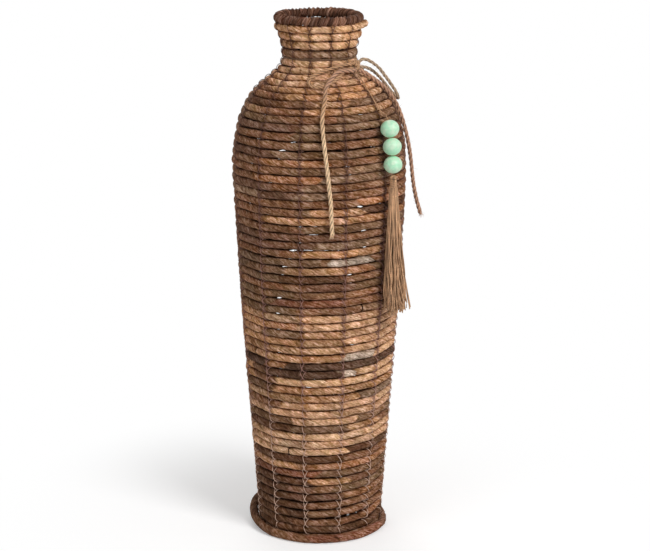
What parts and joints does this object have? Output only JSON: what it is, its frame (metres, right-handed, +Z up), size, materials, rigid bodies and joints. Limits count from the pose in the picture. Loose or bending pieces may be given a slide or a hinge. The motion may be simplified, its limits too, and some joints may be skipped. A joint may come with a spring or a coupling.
{
  "type": "vase",
  "caption": "Tall shouldered vase wound from twisted leaf rope on a wire frame, with a narrow neck, a wrapped rim, a twine bow and a bead and tassel pendant.",
  "frame": {"origin": "centre of the underside, on the surface that the vase stands on", "axes": "+Z up the vase's axis to the mouth, -Y to the front as pictured, with the bow right of the front"},
  "size_m": [0.2124, 0.1978, 0.6],
  "materials": {
    "dark_leaf": "dark brown twisted leaf rope, matt with a dry sheen",
    "darkest_leaf": "near black twisted leaf rope, matt",
    "brown_leaf": "brown twisted leaf rope, matt with a dry sheen",
    "tan_leaf": "tan twisted leaf rope, matt",
    "light_leaf": "light tan twisted leaf rope, matt",
    "rim_leaf": "dark purplish brown leaf strip wrapped round the rim, matt",
    "iron_wire": "dark iron wire",
    "jute": "three-ply natural jute twine, fuzzy",
    "mint_bead": "mint green painted wooden bead, satin"
  },
  "bodies": {
    "vase": {"foot_wall_rope": "dark_leaf", "lower_wall_rope": "tan_leaf", "stripe_rope": "darkest_leaf", "light_band_rope": "light_leaf", "waist_rope": "dark_leaf", "belly_rope": "brown_leaf", "chest_rope": "brown_leaf", "shoulder_rope": "tan_leaf", "neck_rope": "light_leaf", "collar_rope": "dark_leaf", "mouth_rope": "light_leaf", "base_coil": "dark_leaf", "foot_rope": "dark_leaf", "rim_ring": "rim_leaf", "rib_01": "iron_wire", "rib_02": "iron_wire", "rib_03": "iron_wire", "rib_04": "iron_wire", "rib_05": "iron_wire", "rib_06": "iron_wire", "rib_07": "iron_wire", "rib_08": "iron_wire", "rib_09": "iron_wire", "rib_10": "iron_wire", "rib_11": "iron_wire", "rib_12": "iron_wire", "foot_wire": "iron_wire", "waist_wire": "iron_wire", "belly_wire": "iron_wire", "mouth_wire": "iron_wire", "base_bar_lower": "iron_wire", "base_bar_upper": "iron_wire", "neck_tie": "jute", "bow_knot": "jute", "bow_loop_left": "jute", "bow_loop_right": "jute", "bow_tail_front": "jute", "bow_tail_side": "jute"},
    "pendant": {"pendant_string": "jute"},
    "bead_line": {"bead_string": "jute"},
    "upper_bead": {"bead_1": "mint_bead"},
    "middle_bead": {"bead_2": "mint_bead"},
    "lower_bead": {"bead_3": "mint_bead"},
    "tassel": {"tassel_binding": "jute", "tassel_skirt": "jute"}
  },
  "joints": [
    {"name": "pendant_lift", "type": "hinge", "parent": "vase", "child": "pendant", "pos_m": [0.03959, -0.03183, 0.5395], "axis": [-0.6266, -0.7793, 0], "range_deg": [0, 60]},
    {"name": "bead_sway", "type": "hinge", "parent": "pendant", "child": "bead_line", "pos_m": [0.07223, -0.06549, 0.495], "axis": [0.7408, -0.6717, 0], "range_deg": [-20, 20]},
    {"name": "upper_bead_spin", "type": "hinge", "parent": "bead_line", "child": "upper_bead", "pos_m": [0.07675, -0.06959, 0.4812], "axis": [-0.1917, 0.1739, 0.9659], "continuous": true},
    {"name": "middle_bead_spin", "type": "hinge", "parent": "bead_line", "child": "middle_bead", "pos_m": [0.07937, -0.07197, 0.46188], "axis": [-0.0774, 0.0702, 0.9945], "continuous": true},
    {"name": "lower_bead_spin", "type": "hinge", "parent": "bead_line", "child": "lower_bead", "pos_m": [0.08038, -0.07288, 0.44224], "axis": [-0.0259, 0.0234, 0.9994], "continuous": true},
    {"name": "tassel_swing", "type": "hinge", "parent": "bead_line", "child": "tassel", "pos_m": [0.08064, -0.07312, 0.43215], "axis": [-0.6717, -0.7408, 0], "range_deg": [0, 45]}
  ]
}
